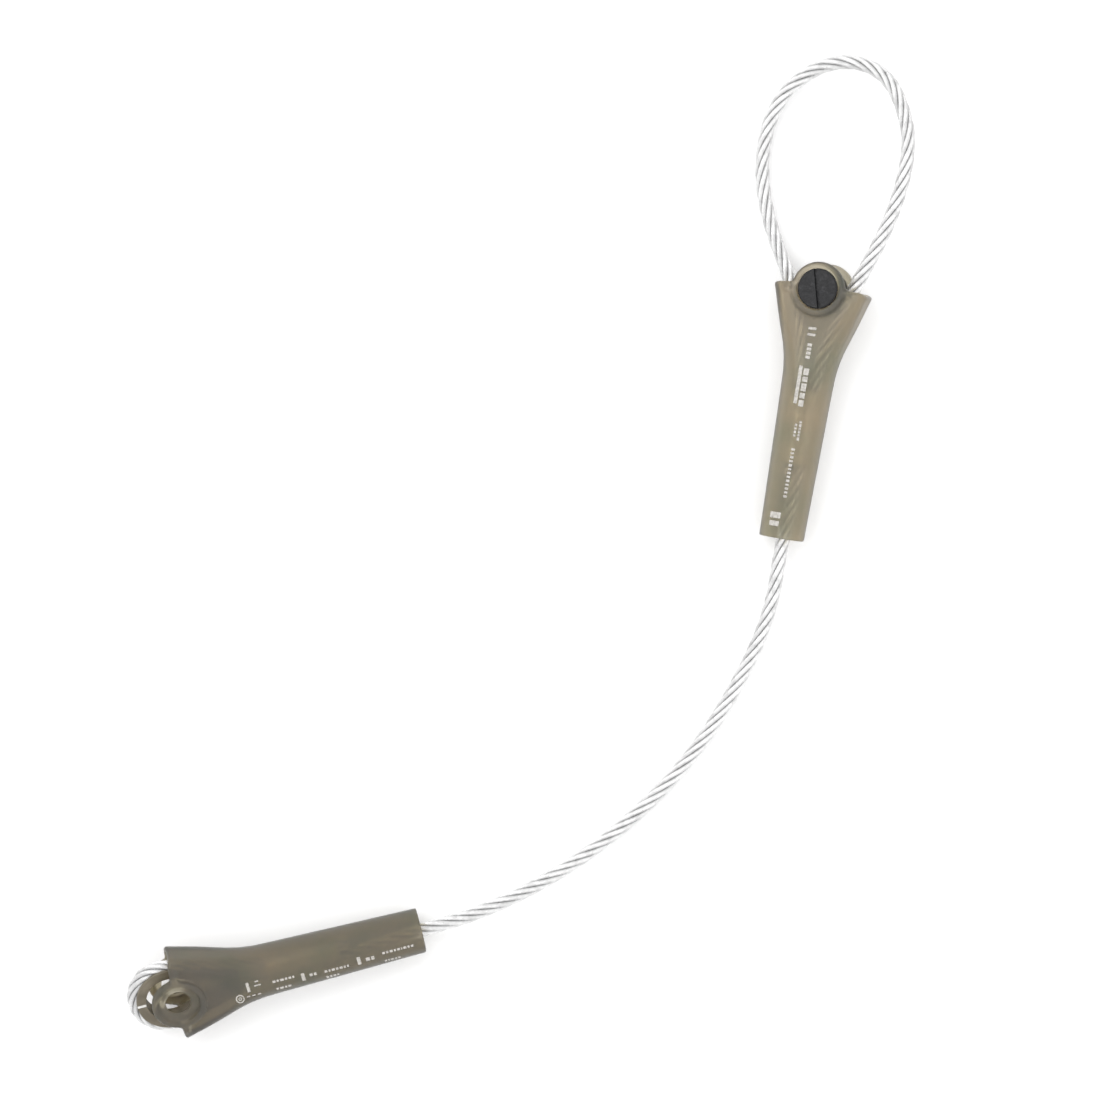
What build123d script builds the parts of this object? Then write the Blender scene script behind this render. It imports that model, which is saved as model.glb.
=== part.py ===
from build123d import *
import math
import os

# Wire rope sling: a steel wire rope with a thimbled small eye, a large soft eye, two pressed ferrules and
# two moulded sleeves over them. It lies on its side on a flat surface, which is the plane Z = 0.
# Millimetres. The origin is under the middle of the box round both sleeves, on the surface.

# ---- driving dimensions ----
rope_d = 6.3                # wire rope
leg_spacing = 6.5           # between the two rope legs inside a ferrule
ferrule_d = 14.2
ferrule_length = 33.0
ferrule_edge = 1.2          # rounding of the ferrule's ends
dead_end_length = 5.0       # rope that stands out of the ferrule's far face

eye_radius = 15.3           # rope centreline round the thimble's crown
eye_centre = -1.75          # the crown's centre, along the sleeve's axis from its mouth
thimble_width = 8.6
thimble_wall = 1.6
thimble_lip = 0.6           # how far the thimble's lips stop short of the rope's centreline
thimble_end = 29.0          # where the thimble's two legs meet
thimble_edge = 0.4          # rounding of its edges
opening_end = 24.0          # centre of the narrow end of the thimble's opening
opening_end_radius = 2.4
groove_gap = 0.05           # between the rope and its groove
notch_width = 1.4           # notch in the thimble's front lip, at the crown

sleeve_length = 110.0
mouth_half_width = 21.4
mouth_half_height = 9.9
tail_radius = 9.75
boss_d = 23.6
boss_half_height = 10.85    # from the sleeve's middle plane to the boss face
boss_place = 1.3            # the boss axis, along the sleeve's axis from its mouth
recess_d = 18.2
recess_depth = 2.2
screw_hole_d = 10.5

head_d = 17.4
head_thickness = 2.45
head_chamfer = 0.5
slot_width = 1.5
slot_depth = 1.3
slot_angle = 15.0
slot_overrun = 1.0          # how far the slot's cutter passes the head
screw_length = 14.0
barrel_d = 9.9
barrel_length = 17.0
barrel_bore_depth = 15.9
thread_d = 6.0
thread_clearance = 0.15     # radial, between the plain stand-ins of the two threads
seat_gap = 0.05             # between a screw head and its seat

# ---- how each sleeve lies: mouth centre, heading of its axis, pitch down to the tail, roll ----
small_mouth = (-142.45, -147.01, 17.285)
small_heading, small_pitch, small_roll = 14.0, 3.9, 31.0
small_ferrule_start = 40.5
large_mouth = (137.75, 157.09, 14.222)
large_heading, large_pitch, large_roll = -99.5, 2.3, 17.0
large_ferrule_start = 44.7
large_eye_roll = 14.0

rope_r = rope_d / 2
leg_offset = leg_spacing / 2


def lying_plane(mouth, heading, pitch, roll):
    """The plane of a sleeve: X from its mouth to its tail, Y across it, Z out of its front face."""
    h, p, r = (math.radians(a) for a in (heading, pitch, roll))
    axis = Vector(math.cos(h) * math.cos(p), math.sin(h) * math.cos(p), -math.sin(p))
    side = Vector(-math.sin(h), math.cos(h), 0)
    normal = axis.cross(side) * math.cos(r) - side * math.sin(r)
    return Plane(origin=mouth, x_dir=axis, z_dir=normal)


small_plane = lying_plane(small_mouth, small_heading, small_pitch, small_roll)
large_plane = lying_plane(large_mouth, large_heading, large_pitch, large_roll)
eye_start = large_plane.from_local_coords(Vector(large_ferrule_start, 0, 0))
eye_plane = lying_plane(tuple(eye_start), large_heading, 0.0, large_eye_roll)


def on(plane, points):
    """World points for a list of (along, across) in a lying plane."""
    return [plane.from_local_coords(Vector(along, across, 0)) for along, across in points]


# ---- the rope's route, from the small eye's dead end to the large eye's dead end ----
small_eye_route = [
    (small_ferrule_start + ferrule_length + dead_end_length, leg_offset),
    (36.5, leg_offset),
    (-4.3, 17.0),
    (-17.1, 7.9),
    (-17.1, -7.9),
    (-4.3, -17.0),
    (36.5, -leg_offset),
    (78.0, -leg_offset),
    (112.0, 0.0),
]
free_route = [
    (-8.3, -112.5, 7.6),
    (23.7, -96.5, 5.0),
    (53.7, -74.7, 3.5),
    (79.7, -48.1, 3.2),
    (98.9, -18.7, 4.6),
    (114.9, 14.7, 7.4),
]
large_tail_route = [
    (112.0, 0.3),
    (82.0, leg_offset),
    (40.5, leg_offset),
]
large_eye_route = [
    (-24.5, 6.2),
    (-48.7, 14.4),
    (-70.7, 22.3),
    (-92.7, 26.8),
    (-112.7, 26.8),
    (-127.6, 20.6),
    (-137.2, 13.6),
    (-142.2, 4.2),
    (-142.9, -7.2),
    (-137.6, -20.3),
    (-124.5, -32.4),
    (-105.7, -37.0),
    (-84.7, -34.7),
    (-64.7, -26.4),
    (-45.7, -14.7),
    (-24.5, -6.4),
]
large_end_route = [
    (40.5, -leg_offset),
    (large_ferrule_start + ferrule_length + dead_end_length, -leg_offset),
]
route = (
    on(small_plane, small_eye_route)
    + [Vector(*p) for p in free_route]
    + on(large_plane, large_tail_route)
    + on(eye_plane, large_eye_route)
    + on(large_plane, large_end_route)
)
held_corners = [1, 6, 7, 16, 17, 34]     # corners beside a ferrule, which holds the rope straight
held_radius = 32.0


def corner_radii(points):
    """The radius of the arc at each corner: as large as its two runs allow, less beside a ferrule."""
    radii = []
    for i in range(1, len(points) - 1):
        before = points[i] - points[i - 1]
        after = points[i + 1] - points[i]
        half_turn = math.radians(before.get_angle(after) / 2)
        radius = 0.45 * min(before.length, after.length) / math.tan(half_turn)
        radii.append(min(radius, held_radius) if i in held_corners else radius)
    return radii


# ---- wire rope ----
radii = corner_radii(route)
print("rope corner radii", [round(r, 1) for r in radii])
with BuildPart() as wire_rope:
    with BuildLine() as rope_line:
        FilletPolyline(*route, radius=radii)
    with BuildSketch(Plane(origin=route[0], z_dir=route[1] - route[0])):
        Circle(rope_r)
    sweep()
rope_length = rope_line.wire().length
rope_volume = math.pi * rope_r ** 2 * rope_length
print("rope length", round(rope_length, 1), "volume over section times length",
      round(wire_rope.part.volume / rope_volume, 5))


# ---- ferrules ----
def ferrule(plane, start):
    """A pressed ferrule round two rope legs, its axis along the sleeve's axis."""
    face = Plane(origin=plane.from_local_coords(Vector(start, 0, 0)), x_dir=plane.y_dir, z_dir=plane.x_dir)
    with BuildPart() as body:
        with BuildSketch(face):
            Circle(ferrule_d / 2)
        extrude(amount=ferrule_length)
        fillet(body.edges(), radius=ferrule_edge)
        with BuildSketch(face):
            SlotCenterToCenter(leg_spacing, rope_d)
        extrude(amount=ferrule_length, mode=Mode.SUBTRACT)
    return body


small_eye_ferrule = ferrule(small_plane, small_ferrule_start)
large_eye_ferrule = ferrule(large_plane, large_ferrule_start)

# ---- small eye's thimble: a teardrop plate, hollow inside, with the rope's groove round its rim ----
straight_end = 36.5
with BuildPart() as small_eye_thimble:
    with BuildSketch(small_plane.offset(-thimble_width / 2)):
        with Locations((eye_centre, 0)):
            Circle(eye_radius - thimble_lip)
        with Locations((straight_end, 0)):
            Circle(leg_offset - thimble_lip)
        make_hull()
        with Locations((thimble_end, 0)):
            Rectangle(2 * straight_end, 2 * eye_radius, align=(Align.MIN, Align.CENTER), mode=Mode.SUBTRACT)
    extrude(amount=thimble_width)
    fillet(small_eye_thimble.edges(), radius=thimble_edge)
    with BuildSketch(small_plane.offset(-thimble_width / 2)) as opening:
        with Locations((eye_centre, 0)):
            Circle(eye_radius - rope_r - thimble_wall)
        with Locations((opening_end, 0)):
            Circle(opening_end_radius)
        make_hull()
    extrude(amount=thimble_width, mode=Mode.SUBTRACT)
    groove_route = on(small_plane, small_eye_route[1:7])
    groove_radii = corner_radii(route)[1:5]
    with BuildLine() as groove_line:
        FilletPolyline(*groove_route, radius=groove_radii)
    with BuildSketch(Plane(origin=groove_route[0], z_dir=groove_route[1] - groove_route[0])):
        Circle(rope_r + groove_gap)
    sweep(mode=Mode.SUBTRACT)
    with BuildSketch(small_plane.offset(thimble_width / 2)):
        with Locations((eye_centre - eye_radius, 0)):
            Rectangle(2 * (rope_r + thimble_wall), notch_width)
    extrude(amount=-rope_r, mode=Mode.SUBTRACT)

# ---- sleeves: stations of half width, half height and corner radius along the axis ----
outer_stations = [
    (0.0, mouth_half_width, mouth_half_height, 6.0),
    (5.0, 19.8, mouth_half_height, 6.2),
    (11.0, 18.1, 10.0, 6.6),
    (17.0, 16.3, 10.2, 7.4),
    (22.0, 14.7, 10.45, 8.3),
    (27.0, 13.2, 10.7, 9.3),
    (32.0, 12.1, 10.95, 10.2),
    (38.0, 11.4, 11.1, 10.8),
    (46.0, 11.15, 11.1, 10.9),
    (sleeve_length, tail_radius, tail_radius, tail_radius - 0.2),
]
inner_stations = [
    (-13.0, 22.9, 6.8, 4.4),
    (0.0, 19.2, 6.8, 4.4),
    (11.0, 15.95, 7.0, 4.9),
    (17.0, 14.15, 7.25, 5.6),
    (22.0, 12.6, 7.6, 6.3),
    (27.0, 11.1, 8.1, 7.1),
    (32.0, 9.95, 8.5, 7.9),
    (38.0, 9.25, 8.8, 8.5),
    (46.0, 9.0, 8.9, 8.7),
    (sleeve_length + 1, 7.55, 7.55, 7.35),
]
panel_start, panel_floor = 3.4, 8.95      # the front panel's sunk floor rises to the surface at its end
panel_end, panel_end_floor = 50.0, 11.15
panel_cut = 4.0                           # enough to clear the wall above the floor
panel_outline = [(0.0, 17.2), (10.0, 14.6), (20.0, 11.2), (30.0, 8.4), (46.0, 6.5)]
boss_root = 5.5             # the bosses start inside the walls, at this height
rim_width = 3.2             # raised rim across the mouth, and how far it stands back from the edge
rim_setback = 0.2
web_reach = 15.4
web_radius = 4.5


def station_sketch(plane, station):
    """One rounded section of the sleeve, square to its axis."""
    along, half_width, half_height, corner = station
    origin = plane.from_local_coords(Vector(along, 0, 0))
    with BuildSketch(Plane(origin=origin, x_dir=plane.y_dir, z_dir=plane.x_dir)) as section:
        RectangleRounded(2 * half_width, 2 * half_height, corner)
    return section.sketch


def boss_outline(height):
    """The boss disc with its webs, which run into the mouth's rim on both sides."""
    with BuildSketch(height) as outline:
        with Locations((rim_width / 2 + rim_setback, 0)):
            SlotOverall(2 * web_reach, rim_width, rotation=90)
        with Locations((boss_place, 0)):
            Circle(boss_d / 2)
        waists = outline.vertices().filter_by(
            lambda v: abs((Vector(v) - height.from_local_coords(Vector(boss_place, 0, 0))).length - boss_d / 2)
            < 0.01
        )
        fillet(waists, radius=web_radius)
    return outline.sketch


def sleeve(plane):
    """The moulded sleeve: flared mouth, two walls with a boss each, and a round tail."""
    faces = [Plane(plane.location * Location((0, 0, 0), (turn, 0, 0))) for turn in (0, 180)]
    slope = math.degrees(math.atan2(panel_end_floor - panel_floor, panel_end - panel_start))
    with BuildPart() as cavity:
        loft([station_sketch(plane, s) for s in inner_stations], ruled=True)
    with BuildPart() as body:
        loft([station_sketch(plane, s) for s in outer_stations], ruled=True)
        for face in faces:
            floor = Plane(face.location * Location((panel_start, 0, panel_floor), (0, -slope, 0)))
            with BuildSketch(floor):
                with BuildLine():
                    Polyline(*panel_outline, *[(x, -y) for x, y in reversed(panel_outline)], close=True)
                make_face()
            extrude(amount=panel_cut, mode=Mode.SUBTRACT)
        for face in faces:
            add(boss_outline(face.offset(boss_root)))
            extrude(amount=boss_half_height - boss_root, dir=face.z_dir)
        add(cavity.part, mode=Mode.SUBTRACT)
        for face in faces:
            with BuildSketch(face.offset(boss_half_height)):
                with Locations((boss_place, 0)):
                    Circle(recess_d / 2)
            extrude(amount=-recess_depth, mode=Mode.SUBTRACT)
            with BuildSketch(face.offset(boss_half_height)):
                with Locations((boss_place, 0)):
                    Circle(screw_hole_d / 2)
            extrude(amount=-boss_half_height, mode=Mode.SUBTRACT)
    return body


small_eye_sleeve = sleeve(small_plane)
large_eye_sleeve = sleeve(large_plane)

# ---- retaining screw and barrel nut, through the large-eye sleeve's bosses ----
seat = boss_half_height - recess_depth
boss_centre = large_plane.from_local_coords(Vector(boss_place, 0, 0))
front = Plane(origin=boss_centre, x_dir=large_plane.x_dir, z_dir=large_plane.z_dir)
rear = Plane(origin=boss_centre, x_dir=large_plane.x_dir, z_dir=-large_plane.z_dir)


def slotted_post(face, shank_d, shank_length, bore_d=0.0, bore_depth=0.0):
    """A post with a flat slotted head in a boss recess; face looks out of that recess."""
    with BuildPart() as body:
        with BuildSketch(face.offset(seat + seat_gap)):
            Circle(head_d / 2)
        extrude(amount=head_thickness)
        chamfer(body.faces().sort_by(Axis(face.origin, face.z_dir))[-1].edges(), length=head_chamfer)
        with BuildSketch(face.offset(seat + seat_gap + head_thickness)):
            Rectangle(head_d + slot_overrun, slot_width, rotation=slot_angle)
        extrude(amount=-slot_depth, mode=Mode.SUBTRACT)
        with BuildSketch(face.offset(seat + seat_gap)):
            Circle(shank_d / 2)
        extrude(amount=-shank_length)
        if bore_d:
            with BuildSketch(face.offset(seat + seat_gap - shank_length)):
                Circle(bore_d / 2)
            extrude(amount=bore_depth, mode=Mode.SUBTRACT)
    return body


retaining_screw = slotted_post(front, thread_d, screw_length)
barrel_nut = slotted_post(rear, barrel_d, barrel_length, thread_d + 2 * thread_clearance, barrel_bore_depth)

# ---- write the pieces ----
pieces = {
    "wire_rope": wire_rope,
    "small_eye_thimble": small_eye_thimble,
    "small_eye_ferrule": small_eye_ferrule,
    "large_eye_ferrule": large_eye_ferrule,
    "small_eye_sleeve": small_eye_sleeve,
    "large_eye_sleeve": large_eye_sleeve,
    "retaining_screw": retaining_screw,
    "barrel_nut": barrel_nut,
}
os.makedirs("parts", exist_ok=True)
for name, piece in pieces.items():
    piece.part.label = name
    export_step(piece.part, f"parts/{name}.step")
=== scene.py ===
import math

import bmesh
import bpy
import numpy as np
from mathutils import Matrix, Vector


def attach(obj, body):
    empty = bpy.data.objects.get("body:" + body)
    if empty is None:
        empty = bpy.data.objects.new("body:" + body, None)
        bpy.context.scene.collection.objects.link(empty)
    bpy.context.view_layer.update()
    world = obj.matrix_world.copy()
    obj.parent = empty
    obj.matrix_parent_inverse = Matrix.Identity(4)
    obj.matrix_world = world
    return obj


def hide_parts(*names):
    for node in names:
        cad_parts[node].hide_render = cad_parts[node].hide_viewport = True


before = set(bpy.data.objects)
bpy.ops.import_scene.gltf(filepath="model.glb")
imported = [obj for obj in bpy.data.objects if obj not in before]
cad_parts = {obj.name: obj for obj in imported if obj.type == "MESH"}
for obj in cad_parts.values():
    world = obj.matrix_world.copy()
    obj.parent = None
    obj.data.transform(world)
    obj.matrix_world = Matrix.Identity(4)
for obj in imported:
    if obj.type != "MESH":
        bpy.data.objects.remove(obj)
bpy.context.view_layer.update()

MM = 0.001

# ---- facts shared with the CAD source, in metres ----
LEG = 0.00325               # half the spacing of the two legs inside a ferrule
FERRULE_LENGTH = 0.033
DEAD_END = 0.005
SMALL_FERRULE = 0.0405      # where each ferrule starts, along its sleeve from the mouth
LARGE_FERRULE = 0.0447
SLEEVE_LENGTH = 0.110
BOSS_PLACE = 0.0013
SMALL_MOUTH, SMALL_HEADING = (-0.14245, -0.14701, 0.017285), 14.0
LARGE_MOUTH, LARGE_HEADING = (0.13775, 0.15709, 0.014222), -99.5


def lying(mouth, heading, pitch, roll):
    """The matrix of a sleeve's plane: X from its mouth to its tail, Y across it, Z out of its front."""
    h, p, r = (math.radians(a) for a in (heading, pitch, roll))
    axis = Vector((math.cos(h) * math.cos(p), math.sin(h) * math.cos(p), -math.sin(p)))
    side = Vector((-math.sin(h), math.cos(h), 0))
    normal = axis.cross(side) * math.cos(r) - side * math.sin(r)
    across = normal.cross(axis)
    m = Matrix((axis, across, normal)).transposed().to_4x4()
    m.translation = mouth
    return m


SMALL = lying(SMALL_MOUTH, SMALL_HEADING, 3.9, 31.0)
LARGE = lying(LARGE_MOUTH, LARGE_HEADING, 2.3, 17.0)
EYE = lying(LARGE @ Vector((LARGE_FERRULE, 0, 0)), LARGE_HEADING, 0.0, 14.0)

# ---- camera: straight down over the middle of the picture ----
CAMERA_PLACE = (0.01965, 0.04369, 2.17)
VIEW_WIDTH = 0.4774
SENSOR = 36.0
cam = bpy.data.objects.new("camera", bpy.data.cameras.new("camera"))
bpy.context.scene.collection.objects.link(cam)
cam.location = CAMERA_PLACE
cam.data.sensor_width = SENSOR
cam.data.lens = SENSOR * CAMERA_PLACE[2] / VIEW_WIDTH
cam.data.clip_end = 20
bpy.context.scene.camera = cam

# ---- the rope's route, the same points as in the CAD source, in metres ----
SMALL_ROUTE = [
    (SMALL_FERRULE + FERRULE_LENGTH + DEAD_END, LEG),
    (0.0365, LEG),
    (-0.0043, 0.0170),
    (-0.0171, 0.0079),
    (-0.0171, -0.0079),
    (-0.0043, -0.0170),
    (0.0365, -LEG),
    (0.0780, -LEG),
    (0.1120, 0.0),
]
FREE_ROUTE = [
    (-0.0083, -0.1125, 0.0076),
    (0.0237, -0.0965, 0.0050),
    (0.0537, -0.0747, 0.0035),
    (0.0797, -0.0481, 0.0032),
    (0.0989, -0.0187, 0.0046),
    (0.1149, 0.0147, 0.0074),
]
LARGE_TAIL_ROUTE = [
    (0.1120, 0.0003),
    (0.0820, LEG),
    (0.0405, LEG),
]
LARGE_EYE_ROUTE = [
    (-0.0245, 0.0062),
    (-0.0487, 0.0144),
    (-0.0707, 0.0223),
    (-0.0927, 0.0268),
    (-0.1127, 0.0268),
    (-0.1276, 0.0206),
    (-0.1372, 0.0136),
    (-0.1422, 0.0042),
    (-0.1429, -0.0072),
    (-0.1376, -0.0203),
    (-0.1245, -0.0324),
    (-0.1057, -0.0370),
    (-0.0847, -0.0347),
    (-0.0647, -0.0264),
    (-0.0457, -0.0147),
    (-0.0245, -0.0064),
]
LARGE_END_ROUTE = [
    (0.0405, -LEG),
    (LARGE_FERRULE + FERRULE_LENGTH + DEAD_END, -LEG),
]


def on(plane, points):
    """Points for a list of (along, across) in a sleeve's plane."""
    return [plane @ Vector((along, across, 0)) for along, across in points]


ROUTE = (
    on(SMALL, SMALL_ROUTE)
    + [Vector(p) for p in FREE_ROUTE]
    + on(LARGE, LARGE_TAIL_ROUTE)
    + on(EYE, LARGE_EYE_ROUTE)
    + on(LARGE, LARGE_END_ROUTE)
)


def smooth_line(points, resolution=48):
    """Points along the quadratic NURBS spline of these control points."""
    curve = bpy.data.curves.new("route", "CURVE")
    curve.dimensions = "3D"
    spline = curve.splines.new("NURBS")
    spline.points.add(len(points) - 1)
    for p, q in zip(spline.points, points):
        p.co = (*q, 1.0)
    spline.order_u = 3
    spline.use_endpoint_u = True
    spline.resolution_u = resolution
    holder = bpy.data.objects.new("route", curve)
    bpy.context.scene.collection.objects.link(holder)
    mesh = bpy.data.meshes.new_from_object(holder)
    line = np.array([v.co[:] for v in mesh.vertices])
    bpy.data.objects.remove(holder)
    return line


def even(line, step):
    """The same line with evenly spaced points, and the arc length at each."""
    legs = np.linalg.norm(np.diff(line, axis=0), axis=1)
    arc = np.concatenate([[0], np.cumsum(legs)])
    count = int(round(arc[-1] / step)) + 1
    s = np.linspace(0, arc[-1], count)
    return np.stack([np.interp(s, arc, line[:, k]) for k in range(3)], axis=1), s


def normals_along(line):
    """A pair of normals at each point, which turn as little as possible along a line."""
    tangent = np.gradient(line, axis=0)
    tangent /= np.linalg.norm(tangent, axis=1)[:, None]
    normal = np.zeros_like(line)
    first = np.cross(tangent[0], (0, 0, 1.0))
    normal[0] = first / np.linalg.norm(first)
    for i in range(1, len(line)):
        n = normal[i - 1] - tangent[i] * np.dot(normal[i - 1], tangent[i])
        normal[i] = n / np.linalg.norm(n)
    return normal, np.cross(tangent, normal)


# ---- wire rope: six strands of wires laid round a core strand ----
STRANDS = 6
STRAND_R = 0.00103
LAY_R = 0.00212             # radius of the strands' centres
ROPE_LAY = 0.0455           # length of one turn of a strand
WIRES = 12                  # outer wires of a strand
WIRE_LAY = 0.0165
LOBE = (1.0, 0.964, 0.80, 0.964)     # a wire's outline, as shares of the strand's radius
STEP = 0.00115              # between two rings of a strand
GROOVE_R = 0.0019           # the rope's colour is painted darkest inside this radius, as shade deep between the strands
GROOVE_SHADE = (1.0, 0.9, 0.45, 0.9)     # and painted darker between two wires of a strand, as shade in the crease


def strand(line, s, normal, side, phase, out_r):
    """Vertices, side faces and end faces of one strand, whose outline has a lobe for each wire."""
    turn = phase + 2 * np.pi * s / ROPE_LAY
    out = normal * np.cos(turn)[:, None] + side * np.sin(turn)[:, None]
    centre = line + out_r * out
    along = np.gradient(centre, axis=0)
    along /= np.linalg.norm(along, axis=1)[:, None]
    u = out - along * np.sum(out * along, axis=1)[:, None]
    u /= np.linalg.norm(u, axis=1)[:, None]
    v = np.cross(along, u)
    n = WIRES * len(LOBE)
    angle = np.arange(n) * 2 * np.pi / n
    radius = STRAND_R * np.tile(LOBE, WIRES)
    twist = -2 * np.pi * s / WIRE_LAY
    a = angle[None, :] + twist[:, None]
    outward = np.cos(a)[..., None] * u[:, None, :] + np.sin(a)[..., None] * v[:, None, :]
    ring = centre[:, None, :] + radius[None, :, None] * outward
    rows = len(line)
    i = np.arange(rows - 1)[:, None] * n
    j = np.arange(n)[None, :]
    k = (np.arange(n)[None, :] + 1) % n
    quads = np.stack([i + j, i + k, i + n + k, i + n + j], axis=-1).reshape(-1, 4)
    caps = [list(range(n))[::-1], list(range((rows - 1) * n, rows * n))]
    return ring.reshape(-1, 3), quads, caps


def mesh_piece(name, verts, faces):
    mesh = bpy.data.meshes.new(name)
    mesh.from_pydata([tuple(v) for v in verts], [], faces)
    mesh.validate()
    mesh.update()
    mesh.shade_smooth()
    obj = bpy.data.objects.new(name, mesh)
    bpy.context.scene.collection.objects.link(obj)
    return obj


def laid_rope(name, line, s, core=False):
    """A piece of the wire rope along part of its line; a cut end also shows its core strand.

    The painted-shade attribute runs from 1 on the strands' crowns down to 0 deep between them; it darkens
    the wire's colour there as painted shade in the grooves.
    """
    normal, side = NORMALS
    pick = np.searchsorted(ROPE_S, s)
    verts, faces, painted_groove_shades, base = [], [], [], 0
    phases = [2 * math.pi * k / STRANDS for k in range(STRANDS)]
    radii = [LAY_R] * STRANDS
    if core:
        phases.append(0.0)
        radii.append(0.0)
    for phase, out_r in zip(phases, radii):
        p, quads, caps = strand(line, s, normal[pick], side[pick], phase, out_r)
        verts.append(p)
        out = np.linalg.norm(p.reshape(len(line), -1, 3) - line[:, None, :], axis=2).ravel()
        # painted shade: darker deep inside the rope and in the creases between two wires
        wire = np.tile(np.tile(GROOVE_SHADE, WIRES), len(line))
        painted_groove_shades.append(np.clip((out - GROOVE_R) / (LAY_R + STRAND_R - GROOVE_R), 0, 1) * wire)
        faces += (quads + base).tolist() + [[base + c for c in cap] for cap in caps]
        base += len(p)
    obj = mesh_piece(name, np.concatenate(verts), faces)
    painted_groove_shade = obj.data.attributes.new("painted_groove_shade", "FLOAT", "POINT")
    painted_groove_shade.data.foreach_set("value", np.concatenate(painted_groove_shades))
    return obj


ROPE_LINE, ROPE_S = even(smooth_line(ROUTE), STEP)
NORMALS = normals_along(ROPE_LINE)
INSIDE = 0.003              # a cord starts this far inside a ferrule's end


def nearest(plane, along, across):
    """Index of the point of the rope's line nearest a place in a sleeve's plane."""
    place = np.array(plane @ Vector((along, across, 0)))
    return int(np.argmin(np.linalg.norm(ROPE_LINE - place, axis=1)))


small_in = nearest(SMALL, SMALL_FERRULE + INSIDE, LEG)
small_out = nearest(SMALL, SMALL_FERRULE + INSIDE, -LEG)
main_in = nearest(SMALL, SMALL_FERRULE + FERRULE_LENGTH - INSIDE, -LEG)
main_out = nearest(LARGE, LARGE_FERRULE + FERRULE_LENGTH - INSIDE, LEG)
large_in = nearest(LARGE, LARGE_FERRULE + INSIDE, LEG)
large_out = nearest(LARGE, LARGE_FERRULE + INSIDE, -LEG)
dead_small = nearest(SMALL, SMALL_FERRULE + FERRULE_LENGTH - INSIDE, LEG)
dead_large = nearest(LARGE, LARGE_FERRULE + FERRULE_LENGTH - INSIDE, -LEG)


def rope_piece(name, first, last, core=False):
    """A piece of the rope that rides on the rope's body, with its line and length."""
    part = slice(first, last + 1)
    obj = laid_rope(name, ROPE_LINE[part], ROPE_S[part], core)
    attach(obj, "rope")
    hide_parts("wire_rope")
    return obj, ROPE_LINE[part], float(ROPE_S[last] - ROPE_S[first])


rope_pieces = []
for name, first, last, lay in (
    ("rope_small_eye", small_in, small_out, "taut"),
    ("rope_free_span", main_in, main_out, "loose"),
    ("rope_large_eye", large_in, large_out, "loose"),
):
    obj, line, length = rope_piece(name, first, last)
    rope_pieces.append(obj)
for name, first, last in (
    ("rope_small_dead_end", 0, dead_small),
    ("rope_large_dead_end", dead_large, len(ROPE_S) - 1),
):
    rope_pieces.append(rope_piece(name, first, last, core=True)[0])


# ---- materials ----
def material(name, base, **sockets):
    """A node material, with its node tree and its Principled shader."""
    mat = bpy.data.materials.new(name)
    mat.use_nodes = True
    nt = mat.node_tree
    bsdf = nt.nodes["Principled BSDF"]
    bsdf.inputs["Base Color"].default_value = (*base, 1)
    for key, value in sockets.items():
        bsdf.inputs[key.replace("_", " ")].default_value = value
    return mat, nt, bsdf


def node(nt, kind, **values):
    """A node, with attributes set by name and inputs by their socket's name or number."""
    n = nt.nodes.new(kind)
    for key, value in values.items():
        if key.startswith("in_"):
            socket = key[3:].replace("_", " ")
            n.inputs[int(socket) if socket.isdigit() else socket].default_value = value
        else:
            setattr(n, key, value)
    return n


def noise(nt, scale, detail=4.0, rough=0.55):
    """Object-space noise."""
    coords = node(nt, "ShaderNodeTexCoord")
    tex = node(nt, "ShaderNodeTexNoise", in_Scale=scale, in_Detail=detail, in_Roughness=rough)
    nt.links.new(coords.outputs["Object"], tex.inputs["Vector"])
    return tex.outputs["Fac"]


def ramp(nt, fac, *stops):
    """A colour ramp over fac, with stops of (place, colour)."""
    r = node(nt, "ShaderNodeValToRGB")
    while len(r.color_ramp.elements) < len(stops):
        r.color_ramp.elements.new(0.5)
    for e, (place, colour) in zip(r.color_ramp.elements, stops):
        e.position = place
        e.color = (*colour, 1)
    nt.links.new(fac, r.inputs["Fac"])
    return r.outputs["Color"]


def spread(nt, fac, low, high):
    """The middle of a noise's range, spread from low to high."""
    m = node(nt, "ShaderNodeMapRange", in_1=0.35, in_2=0.65, in_3=low, in_4=high)
    nt.links.new(fac, m.inputs["Value"])
    return m.outputs["Result"]


def bump(nt, bsdf, height, strength, distance):
    b = node(nt, "ShaderNodeBump", in_Strength=strength, in_Distance=distance)
    nt.links.new(height, b.inputs["Height"])
    nt.links.new(b.outputs["Normal"], bsdf.inputs["Normal"])


def wire_material():
    mat, nt, bsdf = material("galvanised_wire", (0.6, 0.6, 0.62), Metallic=0.8)
    # painted shade: the base colour darkens between the strands and the wires, where the grooves would be
    # shaded; the noise patches are the wire's own uneven tone
    painted_groove_shade = node(nt, "ShaderNodeAttribute", attribute_name="painted_groove_shade").outputs["Fac"]
    shade = ramp(nt, painted_groove_shade, (0.0, (0.42, 0.42, 0.42)), (0.3, (0.70, 0.70, 0.70)),
                 (0.6, (0.80, 0.80, 0.80)), (1.0, (0.93, 0.93, 0.925)))
    patches = ramp(nt, noise(nt, 240.0, 6.0, 0.65), (0.3, (0.72, 0.72, 0.72)), (0.6, (1.0, 1.0, 1.0)))
    mix = node(nt, "ShaderNodeMix", data_type="RGBA", blend_type="MULTIPLY")
    mix.inputs[0].default_value = 1.0
    nt.links.new(shade, mix.inputs[6])
    nt.links.new(patches, mix.inputs[7])
    nt.links.new(mix.outputs[2], bsdf.inputs["Base Color"])
    nt.links.new(spread(nt, noise(nt, 600.0), 0.26, 0.46), bsdf.inputs["Roughness"])
    bump(nt, bsdf, noise(nt, 1800.0, 3.0), 0.15, 0.0001)
    return mat


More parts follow.
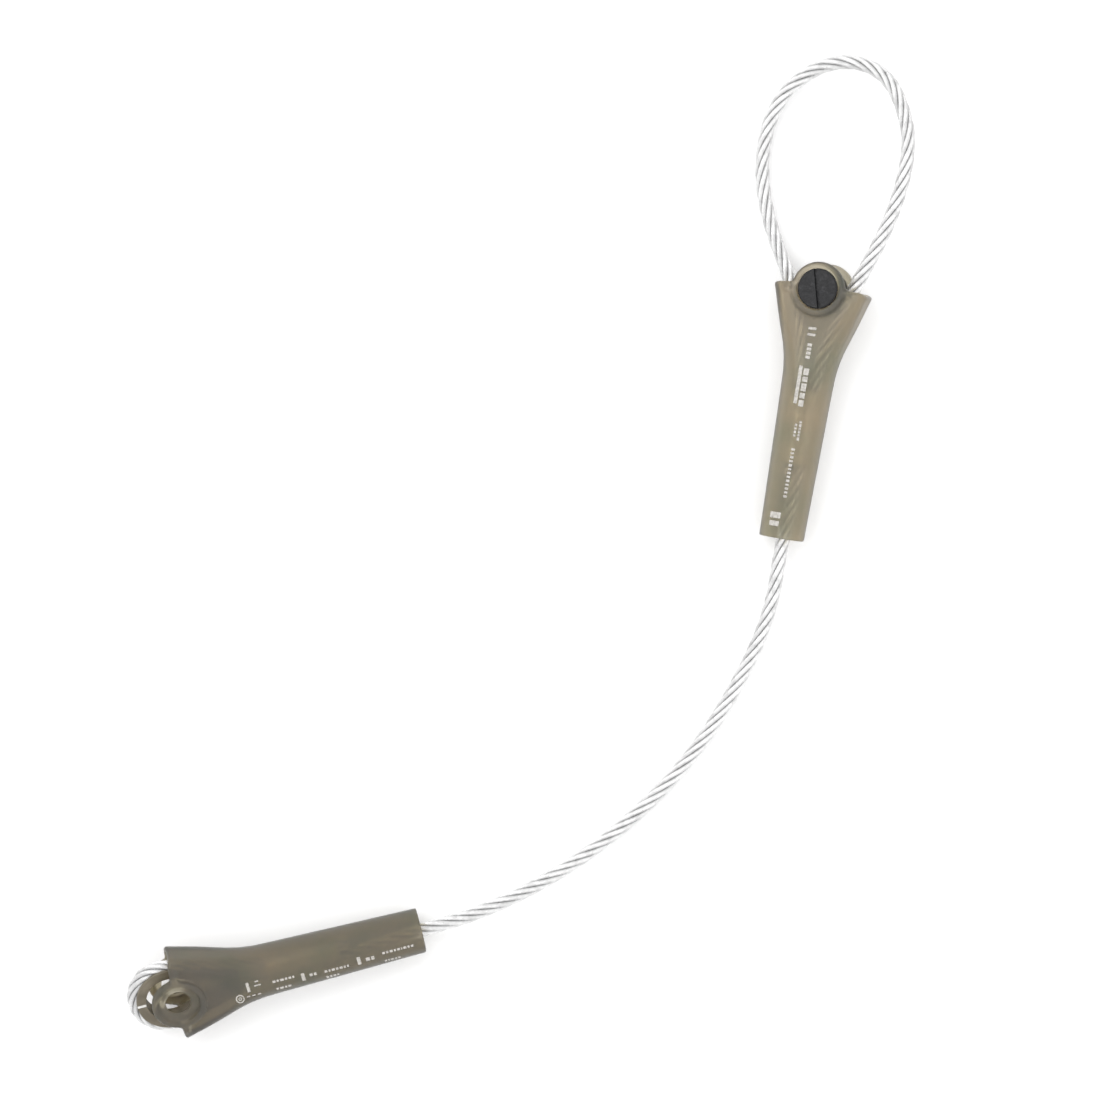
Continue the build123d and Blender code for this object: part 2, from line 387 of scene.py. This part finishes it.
def ferrule_material():
    mat, nt, bsdf = material("pressed_aluminium", (0.8, 0.77, 0.70), Metallic=0.5)
    nt.links.new(
        ramp(nt, noise(nt, 120.0, 5.0), (0.3, (0.66, 0.63, 0.56)), (0.7, (0.88, 0.85, 0.78))),
        bsdf.inputs["Base Color"],
    )
    nt.links.new(spread(nt, noise(nt, 400.0), 0.3, 0.5), bsdf.inputs["Roughness"])
    bump(nt, bsdf, noise(nt, 900.0, 4.0), 0.25, 0.0002)
    return mat


def thimble_material():
    mat, nt, bsdf = material("tan_thimble", (0.50, 0.43, 0.32), IOR=1.4)
    nt.links.new(
        ramp(nt, noise(nt, 90.0, 5.0), (0.3, (0.21, 0.18, 0.13)), (0.7, (0.38, 0.33, 0.25))),
        bsdf.inputs["Base Color"],
    )
    bsdf.inputs["Transmission Weight"].default_value = 0.45
    nt.links.new(spread(nt, noise(nt, 300.0), 0.3, 0.5), bsdf.inputs["Roughness"])
    bump(nt, bsdf, noise(nt, 1200.0, 3.0), 0.12, 0.0001)
    return mat


def sleeve_material(name, density, tint):
    """Smoky plastic that darkens with the thickness of the wall that is looked through."""
    mat, nt, bsdf = material(name, (0.6, 0.57, 0.5), IOR=1.27)
    bsdf.inputs["Transmission Weight"].default_value = 0.9
    cloud = noise(nt, 45.0, 5.0, 0.6)
    nt.links.new(
        ramp(nt, cloud, (0.3, (0.74, 0.76, 0.66)), (0.5, (0.86, 0.82, 0.72)), (0.72, (0.95, 0.87, 0.76))),
        bsdf.inputs["Base Color"],
    )
    bsdf.inputs["Roughness"].default_value = 0.3
    inside = node(nt, "ShaderNodeVolumeAbsorption", in_Color=(*tint, 1), in_Density=density)
    nt.links.new(inside.outputs["Volume"], nt.nodes["Material Output"].inputs["Volume"])
    return mat


def black_material():
    mat, nt, bsdf = material("black_nylon", (0.02, 0.02, 0.022))
    scuffs = noise(nt, 350.0, 8.0, 0.75)
    shade = ramp(nt, scuffs, (0.35, (0.004, 0.004, 0.005)), (0.58, (0.012, 0.012, 0.014)),
                 (0.76, (0.08, 0.08, 0.085)))
    nt.links.new(shade, bsdf.inputs["Base Color"])
    bsdf.inputs["Specular IOR Level"].default_value = 0.35
    nt.links.new(spread(nt, noise(nt, 500.0, 5.0), 0.32, 0.5), bsdf.inputs["Roughness"])
    bump(nt, bsdf, noise(nt, 1100.0, 5.0), 0.4, 0.0003)
    return mat


def print_material():
    mat, nt, bsdf = material("pale_print", (0.72, 0.70, 0.66), Roughness=0.55)
    nt.links.new(
        ramp(nt, noise(nt, 900.0, 4.0), (0.3, (0.34, 0.32, 0.29)), (0.6, (0.58, 0.56, 0.52))),
        bsdf.inputs["Base Color"],
    )
    return mat


def wear(obj, mat):
    obj.data.materials.clear()
    obj.data.materials.append(mat)


def dress(name, mat):
    """Give a CAD node's object a better material."""
    obj = bpy.data.objects[name]
    if not obj.data.materials:
        obj.data.materials.append(mat)
    for slot in obj.material_slots:
        slot.material = mat


WIRE, FERRULE, THIMBLE = wire_material(), ferrule_material(), thimble_material()
# The small sleeve's copy of the smoky plastic has almost twice the large one's density and a warmer tint:
# painted shade, for the shade that falls on the small sleeve.
SMALL_SMOKE = sleeve_material("smoky_plastic_small_shaded", 900.0, (0.60, 0.56, 0.44))
LARGE_SMOKE = sleeve_material("smoky_plastic_large", 490.0, (0.69, 0.655, 0.56))
BLACK, PRINT = black_material(), print_material()
for obj in rope_pieces:
    wear(obj, WIRE)

# ---- sleeves: the CAD shape with its facets smoothed away, as moulded plastic ----
VOXEL = 0.0005
WELD = 1e-6                 # vertices this close are one
SMOOTHING = 4               # turns of smoothing over the whole sleeve
RIM = 0.005                 # width of the edges that are rounded more
RIM_TURNS = 55              # and the turns of smoothing there, at the mouth
TAIL_TURNS = 8              # and at the tail
CORNER = 0.0019             # rounding of the mouth's two side corners, over the thickness of the wall
CORNER_INSIDE, CORNER_OUTSIDE = 0.0192, 0.0214     # the wall's two faces, across the mouth
CORNER_PLAN = 0.0032        # radius of the same corners as seen from above
CORNER_FADE = 0.009         # the walls are shortened over this length behind them
PLAIN_START = 0.0145        # the walls are plain from this far round the boss's axis
PLAIN_END, PLAIN_FADE = 0.002, 0.003     # short of the tail by this, and coming on over this length
PLAIN_TURNS = 36


def node_copy(node_name, piece_name):
    """A new object with a copy of a CAD node's mesh, in place."""
    src = bpy.data.objects[node_name]
    mesh = src.data.copy()
    mesh.transform(src.matrix_world)
    obj = bpy.data.objects.new(piece_name, mesh)
    bpy.context.scene.collection.objects.link(obj)
    return obj


def apply_modifiers(obj):
    """Bake the object's modifiers into its mesh."""
    deps = bpy.context.evaluated_depsgraph_get()
    mesh = bpy.data.meshes.new_from_object(obj.evaluated_get(deps))
    obj.modifiers.clear()
    obj.data = mesh


def soften(obj, plane):
    """Round the mouth's corners, its rim and the tail's edge, and smooth the plain walls further."""
    inverse = np.array(plane.inverted())
    co = np.empty(len(obj.data.vertices) * 3)
    obj.data.vertices.foreach_get("co", co)
    local = co.reshape(-1, 3) @ inverse[:3, :3].T + inverse[:3, 3]
    along, across = local[:, 0], local[:, 1]
    share = np.clip((abs(across) - CORNER_INSIDE) / (CORNER_OUTSIDE - CORNER_INSIDE), 0, 1)
    beyond = np.clip(abs(across) - CORNER_OUTSIDE + CORNER_PLAN, 0, CORNER_PLAN)
    back = CORNER_PLAN - np.sqrt(CORNER_PLAN ** 2 - beyond ** 2)
    local[:, 0] += back * np.clip(1 - along / CORNER_FADE, 0, 1) ** 2
    left = np.clip(CORNER - along, 0, CORNER)
    local[:, 1] -= np.sign(across) * share * (CORNER - np.sqrt(CORNER ** 2 - left ** 2))
    forward = np.array(plane)
    obj.data.vertices.foreach_set("co", (local @ forward[:3, :3].T + forward[:3, 3]).ravel())
    from_boss = np.hypot(along - BOSS_PLACE, across)
    from_edges = np.minimum(from_boss - PLAIN_START, SLEEVE_LENGTH - PLAIN_END - along)
    ramps = (
        ("mouth", (RIM - along) / (RIM / 2), RIM_TURNS),
        ("tail", (RIM - SLEEVE_LENGTH + along) / (RIM / 2), TAIL_TURNS),
        ("plain", from_edges / PLAIN_FADE, PLAIN_TURNS),
    )
    for name, ramp_up, turns in ramps:
        group = obj.vertex_groups.new(name=name)
        weight = np.clip(ramp_up, 0, 1)
        for i in np.flatnonzero(weight > 0):
            group.add([int(i)], float(weight[i]), "REPLACE")
        smooth = obj.modifiers.new(name, "SMOOTH")
        smooth.factor = 0.5
        smooth.iterations = turns
        smooth.vertex_group = name
    apply_modifiers(obj)
    obj.vertex_groups.clear()


def moulded(node_name, piece_name, body, mat, plane):
    """A sleeve's skin, which stands for its CAD node."""
    obj = node_copy(node_name, piece_name)
    weld = obj.modifiers.new("weld", "WELD")
    weld.merge_threshold = WELD
    remesh = obj.modifiers.new("remesh", "REMESH")
    remesh.mode = "VOXEL"
    remesh.voxel_size = VOXEL
    smooth = obj.modifiers.new("smooth", "SMOOTH")
    smooth.factor = 0.5
    smooth.iterations = SMOOTHING
    apply_modifiers(obj)
    soften(obj, plane)
    obj.data.shade_smooth()
    wear(obj, mat)
    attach(obj, body)
    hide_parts(node_name)
    return obj


small_skin = moulded("small_eye_sleeve", "small_sleeve_skin", "small_sleeve", SMALL_SMOKE, SMALL)
large_skin = moulded("large_eye_sleeve", "large_sleeve_skin", "large_sleeve", LARGE_SMOKE, LARGE)

for name, mat in (
    ("small_eye_ferrule", FERRULE),
    ("large_eye_ferrule", FERRULE),
    ("small_eye_thimble", THIMBLE),
    ("retaining_screw", BLACK),
    ("barrel_nut", BLACK),
):
    dress(name, mat)

# ---- the pale tab that fills the notch in the thimble's lip, at the eye's crown ----
EYE_RADIUS = 0.0153
EYE_CENTRE = -0.00175
LIP_TOP = 0.0043            # half the thimble's width
TAB = (0.0040, 0.00115, 0.0016)
TAB_SETBACK = 0.0027        # from the crown of the eye to the tab's middle
TAB_PROUD = 0.0002
TAB_BEVEL = 0.0003


def thimble_tab():
    bm = bmesh.new()
    bmesh.ops.create_cube(bm, size=1.0)
    for v in bm.verts:
        v.co = Vector([c * side for c, side in zip(v.co, TAB)])
    bmesh.ops.bevel(bm, geom=bm.edges[:], offset=TAB_BEVEL, segments=3, profile=0.5, affect="EDGES")
    place = Vector((EYE_CENTRE - EYE_RADIUS + TAB_SETBACK, 0, LIP_TOP - TAB[2] / 2 + TAB_PROUD))
    for v in bm.verts:
        v.co = SMALL @ (v.co + place)
    mesh = bpy.data.meshes.new("thimble_tab")
    bm.to_mesh(mesh)
    bm.free()
    mesh.shade_smooth()
    obj = bpy.data.objects.new("thimble_tab", mesh)
    bpy.context.scene.collection.objects.link(obj)
    mat, nt, bsdf = material("pale_tab", (0.85, 0.84, 0.81), Roughness=0.35)
    nt.links.new(ramp(nt, noise(nt, 500.0), (0.3, (0.74, 0.73, 0.70)), (0.7, (0.92, 0.91, 0.88))),
                 bsdf.inputs["Base Color"])
    wear(obj, mat)
    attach(obj, "rope")


thimble_tab()

# ---- printed marks, as plain bars, dashes and a ring in a thin skin of pale ink ----
INK = 0.00006               # how far the ink stands out of the sleeve
ABOVE = 0.1                 # height from which the marks are cast down
MARK_LENGTH_STEP, MARK_WIDTH_STEP = 0.5, 0.4     # size of a bar's cells, in millimetres
RING_STEPS = 24


class Marks:
    """Marks cast on a sleeve from above, placed in millimetres along and across its axis in plan."""

    def __init__(self, skin, mouth, heading):
        h = math.radians(heading)
        self.mouth = Vector(mouth)
        self.along = Vector((math.cos(h), math.sin(h), 0))
        self.across = Vector((-math.sin(h), math.cos(h), 0))
        self.skin = skin
        self.verts, self.faces = [], []

    def land(self, a, c):
        """The point of the sleeve under a place, and the ink's top above it."""
        start = self.mouth + (self.along * a + self.across * c) * MM
        start.z = ABOVE
        hit, point, normal, _ = self.skin.ray_cast(start, Vector((0, 0, -1)))
        return (point - normal * INK, point + normal * INK) if hit else None

    def strip(self, place, nu, nv, closed=False):
        """A patch of ink over the grid place(u, v), u and v from 0 to 1, closed round in u for a ring."""
        cols = nu if closed else nu + 1
        grid = [[self.land(*place(i / nu, j / nv)) for j in range(nv + 1)] for i in range(cols)]
        if any(p is None for row in grid for p in row):
            return
        base = len(self.verts)
        for row in grid:
            for low, top in row:
                self.verts += [low, top]
        rows = nv + 1

        def at(i, j, side):
            return base + 2 * ((i % cols) * rows + j) + side

        for i in range(nu):
            for j in range(nv):
                a, b, c, d = (i, j), (i + 1, j), (i + 1, j + 1), (i, j + 1)
                self.faces.append([at(*p, 1) for p in (a, b, c, d)])
                self.faces.append([at(*p, 0) for p in (d, c, b, a)])
            for j, p, q in ((0, i, i + 1), (nv, i + 1, i)):
                self.faces.append([at(q, j, 1), at(p, j, 1), at(p, j, 0), at(q, j, 0)])
        if not closed:
            for j in range(nv):
                for i, p, q in ((0, j, j + 1), (nu, j + 1, j)):
                    self.faces.append([at(i, p, 1), at(i, q, 1), at(i, q, 0), at(i, p, 0)])

    def bar(self, a, c, length, width, slope=0.0):
        """A bar with its middle at a, c; slope is how far it drifts across for each millimetre along."""
        nu, nv = max(2, int(length / MARK_LENGTH_STEP)), max(2, int(width / MARK_WIDTH_STEP))

        def place(u, v):
            return a + (u - 0.5) * length, c + (v - 0.5) * width + slope * (u - 0.5) * length

        self.strip(place, nu, nv)

    def dashes(self, a, c, lengths, width, gap=0.55, slope=0.0):
        """A row of dashes that starts at a."""
        at = a
        for length in lengths:
            self.bar(at + length / 2, c + slope * (at - a), length, width, slope)
            at += length + gap

    def ring(self, a, c, inner, outer):
        def place(u, v):
            r = outer + (inner - outer) * v
            return a + r * math.cos(2 * math.pi * u), c + r * math.sin(2 * math.pi * u)

        self.strip(place, RING_STEPS, 2, closed=True)

    def finish(self, name, body):
        obj = mesh_piece(name, self.verts, self.faces)
        obj.data.shade_flat()
        wear(obj, PRINT)
        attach(obj, body)


small_marks = Marks(small_skin, SMALL_MOUTH, SMALL_HEADING)
small_marks.ring(27.6, -9.2, 1.4, 1.9)
small_marks.ring(27.6, -9.2, 0.4, 0.8)
small_marks.bar(32.2, -5.0, 1.3, 4.2)
small_marks.bar(36.4, -5.0, 2.8, 0.6)
small_marks.bar(36.4, -3.2, 1.6, 0.6)
small_marks.dashes(30.6, -9.0, (1.5, 1.5, 1.5), 0.45, 0.9)
small_marks.dashes(43.0, -5.3, (1.3, 0.9, 1.6, 1.0, 1.2, 0.8), 1.0)
small_marks.dashes(43.8, -8.8, (1.0, 1.6, 0.9, 1.3), 0.9)
small_marks.dashes(44.4, -11.6, (1.2, 0.9, 1.2, 0.8), 0.6)
small_marks.bar(56.2, -6.5, 1.5, 3.4)
small_marks.dashes(59.0, -6.4, (1.4, 1.1), 1.2)
small_marks.dashes(65.6, -6.6, (1.2, 0.8, 1.4, 1.0, 1.3, 0.9, 0.8), 1.0)
small_marks.dashes(65.6, -9.3, (1.1, 0.9, 1.2, 0.8), 0.8)
small_marks.dashes(65.6, -11.1, (1.4, 0.9, 1.5, 1.0, 1.6, 0.9, 1.3, 1.1, 0.9, 1.4), 0.45)
small_marks.bar(81.0, -5.7, 1.5, 3.4)
small_marks.dashes(84.0, -5.9, (1.8, 1.4), 1.5)
small_marks.dashes(91.4, -5.0, (1.2, 1.0, 1.4, 0.8, 1.2, 0.5, 1.3, 0.9, 1.1), 1.0)
small_marks.dashes(91.6, -8.7, (1.0, 0.6, 1.2, 0.9, 1.1), 0.7)
small_marks.finish("small_sleeve_marks", "small_sleeve")

large_marks = Marks(large_skin, LARGE_MOUTH, LARGE_HEADING)
large_marks.bar(18.9, -2.3, 1.1, 3.4)
large_marks.bar(21.6, -2.3, 1.1, 3.4)
large_marks.dashes(25.4, -2.3, (1.3, 1.3, 1.3, 1.3), 1.9, 0.5)
large_marks.bar(43.6, -4.4, 16.4, 1.5)
large_marks.dashes(36.2, -1.9, (3.0, 2.2, 3.4, 2.4, 2.8), 2.2, 0.7)
large_marks.dashes(59.0, -0.6, (0.9, 1.3, 0.7, 1.2, 0.9, 1.4), 1.1, 0.4)
large_marks.dashes(60.4, -2.4, (1.1, 0.8, 1.2, 0.9), 1.0, 0.5)
large_marks.dashes(71.0, -1.9, (1.0, 0.8, 1.1, 0.9, 1.2, 0.7, 1.0, 0.9, 1.1, 0.8, 1.0, 0.9, 1.0), 1.5, 0.75)
large_marks.bar(100.4, -4.6, 2.6, 4.4)
large_marks.bar(104.0, -4.6, 2.2, 4.0)
large_marks.finish("large_sleeve_marks", "large_sleeve")

# ---- floor and light ----
FLOOR = 4.0                 # half its width
FLOOR_TILES = 8
FLOOR_DROP = 0.00005        # below z = 0
FLOOR_GLOW = 0.2            # the floor glows a little, which pales the shadows on it
SKY = 0.97


def floor_piece():
    mesh = bpy.data.meshes.new("floor")
    n = FLOOR_TILES
    step = 2 * FLOOR / n
    verts = [(-FLOOR + i * step, -FLOOR + j * step, -FLOOR_DROP) for i in range(n + 1) for j in range(n + 1)]
    faces = [
        (i * (n + 1) + j, (i + 1) * (n + 1) + j, (i + 1) * (n + 1) + j + 1, i * (n + 1) + j + 1)
        for i in range(n)
        for j in range(n)
    ]
    mesh.from_pydata(verts, [], faces)
    obj = bpy.data.objects.new("floor", mesh)
    bpy.context.scene.collection.objects.link(obj)
    mat, nt, bsdf = material("paper", (0.9, 0.9, 0.9), Roughness=0.9)
    bsdf.inputs["Specular IOR Level"].default_value = 0.1
    bsdf.inputs["Emission Color"].default_value = (1, 1, 1, 1)
    bsdf.inputs["Emission Strength"].default_value = FLOOR_GLOW
    nt.links.new(ramp(nt, noise(nt, 3.0), (0.3, (0.89, 0.89, 0.89)), (0.7, (0.91, 0.91, 0.91))),
                 bsdf.inputs["Base Color"])
    wear(obj, mat)
    return obj


floor_piece()


def soft_light(name, place, size, power):
    """A round area light that faces the object's middle."""
    light = bpy.data.lights.new(name, "AREA")
    light.shape = "DISK"
    light.size = size
    light.energy = power
    obj = bpy.data.objects.new(name, light)
    obj.location = place
    obj.rotation_euler = (-Vector(place)).to_track_quat("-Z", "Y").to_euler()
    bpy.context.scene.collection.objects.link(obj)


soft_light("key", (-0.9, 0.9, 1.7), 1.3, 12.0)
soft_light("fill", (1.3, -0.6, 1.5), 1.6, 6.0)
world = bpy.data.worlds.new("studio")
world.use_nodes = True
world.node_tree.nodes["Background"].inputs["Color"].default_value = (1, 1, 1, 1)
world.node_tree.nodes["Background"].inputs["Strength"].default_value = SKY
bpy.context.scene.world = world
bpy.context.scene.view_settings.view_transform = "Standard"
